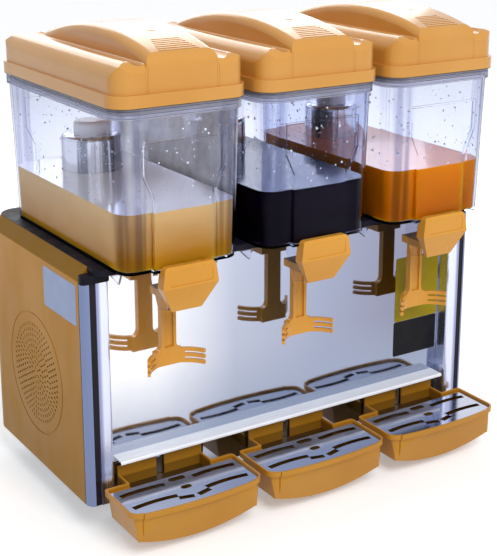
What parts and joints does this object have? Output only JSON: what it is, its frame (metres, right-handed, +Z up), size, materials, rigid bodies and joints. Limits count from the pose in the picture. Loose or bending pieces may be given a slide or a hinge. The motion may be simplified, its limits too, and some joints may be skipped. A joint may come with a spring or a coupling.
{
  "type": "juice cooler",
  "caption": "Counter-top juice cooler: clear lift-off bowls with amber lids, push-lever taps, stirrers and drip trays on a refrigerated steel and plastic cabinet.",
  "frame": {"origin": "under the middle of the whole machine, on the surface that it stands on", "axes": "+X to the machine's right as its user faces it, +Y to its back, +Z up"},
  "size_m": [0.623, 0.417, 0.637],
  "materials": {
    "amber_panel": "satin moulded",
    "amber_lid": "satin moulded",
    "amber_tap": "satin moulded",
    "amber_tray": "satin moulded",
    "clear_plastic": "clear",
    "mirror_steel": "mirror polished",
    "ledge_steel": "polished",
    "bracket_steel": "satin",
    "grid_steel": "polished",
    "evaporator_steel": "polished",
    "spring_steel": "satin",
    "sheet_metal": "matt zinc grey",
    "post_aluminium": "polished",
    "fin_aluminium": "plain",
    "motor_metal": "satin",
    "black_paint": "satin",
    "black_plastic": "satin",
    "grey_plastic": "matt",
    "rocker_plastic": "gloss",
    "white_plastic": "satin",
    "copper": "drawn copper tube",
    "rubber": "matt",
    "gasket_rubber": "matt"
  },
  "bodies": {
    "cabinet": {"base_pan": "sheet_metal", "rubber_feet": "rubber", "left_side_panel": "amber_panel", "right_side_panel": "amber_panel", "front_panel": "mirror_steel", "drip_ledge": "ledge_steel", "left_post": "post_aluminium", "right_post": "post_aluminium", "post_caps": "black_plastic", "rear_panel": "sheet_metal", "deck": "black_plastic", "tray_brackets": "bracket_steel", "compressor": "black_paint", "condenser": "fin_aluminium", "fan_shroud": "sheet_metal", "fan_motor": "motor_metal", "refrigerant_pipes": "copper", "control_box": "grey_plastic", "cord_gland": "black_plastic", "left_bowl_gasket": "gasket_rubber", "left_evaporator": "evaporator_steel", "left_stirrer_motor": "motor_metal", "middle_bowl_gasket": "gasket_rubber", "middle_evaporator": "evaporator_steel", "middle_stirrer_motor": "motor_metal", "right_bowl_gasket": "gasket_rubber", "right_evaporator": "evaporator_steel", "right_stirrer_motor": "motor_metal"},
    "fan": {"fan_blade": "black_plastic"},
    "power_switch": {"power_rocker": "rocker_plastic"},
    "stir_switch": {"stir_rocker": "rocker_plastic"},
    "thermostat": {"thermostat_knob": "black_plastic"},
    "left_tank": {"left_bowl": "clear_plastic", "left_tap_cover": "amber_tap", "left_tap_spring": "spring_steel"},
    "left_cover": {"left_lid": "amber_lid"},
    "left_handle": {"left_tap_lever": "amber_tap"},
    "left_plunger": {"left_tap_valve": "white_plastic"},
    "left_stirrer": {"left_agitator": "white_plastic"},
    "left_tray": {"left_drip_tray": "amber_tray"},
    "left_grate": {"left_drip_grid": "grid_steel"},
    "middle_tank": {"middle_bowl": "clear_plastic", "middle_tap_cover": "amber_tap", "middle_tap_spring": "spring_steel"},
    "middle_cover": {"middle_lid": "amber_lid"},
    "middle_handle": {"middle_tap_lever": "amber_tap"},
    "middle_plunger": {"middle_tap_valve": "white_plastic"},
    "middle_stirrer": {"middle_agitator": "white_plastic"},
    "middle_tray": {"middle_drip_tray": "amber_tray"},
    "middle_grate": {"middle_drip_grid": "grid_steel"},
    "right_tank": {"right_bowl": "clear_plastic", "right_tap_cover": "amber_tap", "right_tap_spring": "spring_steel"},
    "right_cover": {"right_lid": "amber_lid"},
    "right_handle": {"right_tap_lever": "amber_tap"},
    "right_plunger": {"right_tap_valve": "white_plastic"},
    "right_stirrer": {"right_agitator": "white_plastic"},
    "right_tray": {"right_drip_tray": "amber_tray"},
    "right_grate": {"right_drip_grid": "grid_steel"}
  },
  "joints": [
    {"name": "left_tank_lift", "type": "slide", "parent": "cabinet", "child": "left_tank", "axis": [0, 0, 1], "range_m": [0, 0.16]},
    {"name": "left_lid_lift", "type": "slide", "parent": "left_tank", "child": "left_cover", "axis": [0, 0, 1], "range_m": [0, 0.15]},
    {"name": "left_lever_push", "type": "hinge", "parent": "left_tank", "child": "left_handle", "pos_m": [-0.2, -0.1635, 0.318], "axis": [1, 0, 0], "range_deg": [0, 14], "stiffness_Nm_per_rad": 1.2, "springref_deg": -8.59, "deforming": ["left_tap_spring"]},
    {"name": "left_valve_lift", "type": "slide", "parent": "left_tank", "child": "left_plunger", "axis": [0, 0, 1], "range_m": [0, 0.0036]},
    {"name": "left_agitator_spin", "type": "hinge", "parent": "cabinet", "child": "left_stirrer", "pos_m": [-0.2, 0.0825, 0.365], "axis": [0, 0, 1], "continuous": true},
    {"name": "left_tray_pull", "type": "slide", "parent": "cabinet", "child": "left_tray", "axis": [0, -1, 0], "range_m": [0, 0.09]},
    {"name": "left_grid_lift", "type": "slide", "parent": "left_tray", "child": "left_grate", "axis": [0, 0, 1], "range_m": [0, 0.05]},
    {"name": "middle_tank_lift", "type": "slide", "parent": "cabinet", "child": "middle_tank", "axis": [0, 0, 1], "range_m": [0, 0.16]},
    {"name": "middle_lid_lift", "type": "slide", "parent": "middle_tank", "child": "middle_cover", "axis": [0, 0, 1], "range_m": [0, 0.15]},
    {"name": "middle_lever_push", "type": "hinge", "parent": "middle_tank", "child": "middle_handle", "pos_m": [0, -0.1635, 0.318], "axis": [1, 0, 0], "range_deg": [0, 14], "stiffness_Nm_per_rad": 1.2, "springref_deg": -8.59, "deforming": ["middle_tap_spring"]},
    {"name": "middle_valve_lift", "type": "slide", "parent": "middle_tank", "child": "middle_plunger", "axis": [0, 0, 1], "range_m": [0, 0.0036]},
    {"name": "middle_agitator_spin", "type": "hinge", "parent": "cabinet", "child": "middle_stirrer", "pos_m": [0, 0.0825, 0.365], "axis": [0, 0, 1], "continuous": true},
    {"name": "middle_tray_pull", "type": "slide", "parent": "cabinet", "child": "middle_tray", "axis": [0, -1, 0], "range_m": [0, 0.09]},
    {"name": "middle_grid_lift", "type": "slide", "parent": "middle_tray", "child": "middle_grate", "axis": [0, 0, 1], "range_m": [0, 0.05]},
    {"name": "right_tank_lift", "type": "slide", "parent": "cabinet", "child": "right_tank", "axis": [0, 0, 1], "range_m": [0, 0.16]},
    {"name": "right_lid_lift", "type": "slide", "parent": "right_tank", "child": "right_cover", "axis": [0, 0, 1], "range_m": [0, 0.15]},
    {"name": "right_lever_push", "type": "hinge", "parent": "right_tank", "child": "right_handle", "pos_m": [0.2, -0.1635, 0.318], "axis": [1, 0, 0], "range_deg": [0, 14], "stiffness_Nm_per_rad": 1.2, "springref_deg": -8.59, "deforming": ["right_tap_spring"]},
    {"name": "right_valve_lift", "type": "slide", "parent": "right_tank", "child": "right_plunger", "axis": [0, 0, 1], "range_m": [0, 0.0036]},
    {"name": "right_agitator_spin", "type": "hinge", "parent": "cabinet", "child": "right_stirrer", "pos_m": [0.2, 0.0825, 0.365], "axis": [0, 0, 1], "continuous": true},
    {"name": "right_tray_pull", "type": "slide", "parent": "cabinet", "child": "right_tray", "axis": [0, -1, 0], "range_m": [0, 0.09]},
    {"name": "right_grid_lift", "type": "slide", "parent": "right_tray", "child": "right_grate", "axis": [0, 0, 1], "range_m": [0, 0.05]},
    {"name": "fan_spin", "type": "hinge", "parent": "cabinet", "child": "fan", "pos_m": [0.241, 0.0605, 0.1437], "axis": [1, 0, 0], "continuous": true},
    {"name": "power_toggle", "type": "hinge", "parent": "cabinet", "child": "power_switch", "pos_m": [-0.034, 0.1943, 0.272], "axis": [1, 0, 0], "range_deg": [-8, 8]},
    {"name": "stir_toggle", "type": "hinge", "parent": "cabinet", "child": "stir_switch", "pos_m": [-0.01, 0.1943, 0.272], "axis": [1, 0, 0], "range_deg": [-8, 8]},
    {"name": "thermostat_turn", "type": "hinge", "parent": "cabinet", "child": "thermostat", "pos_m": [0.026, 0.2043, 0.272], "axis": [0, 1, 0], "range_deg": [0, 270]}
  ],
  "couplings": [
    {"joint": "left_valve_lift", "follows": "left_lever_push", "m_per_rad": 0.014},
    {"joint": "middle_valve_lift", "follows": "middle_lever_push", "m_per_rad": 0.014},
    {"joint": "right_valve_lift", "follows": "right_lever_push", "m_per_rad": 0.014}
  ]
}
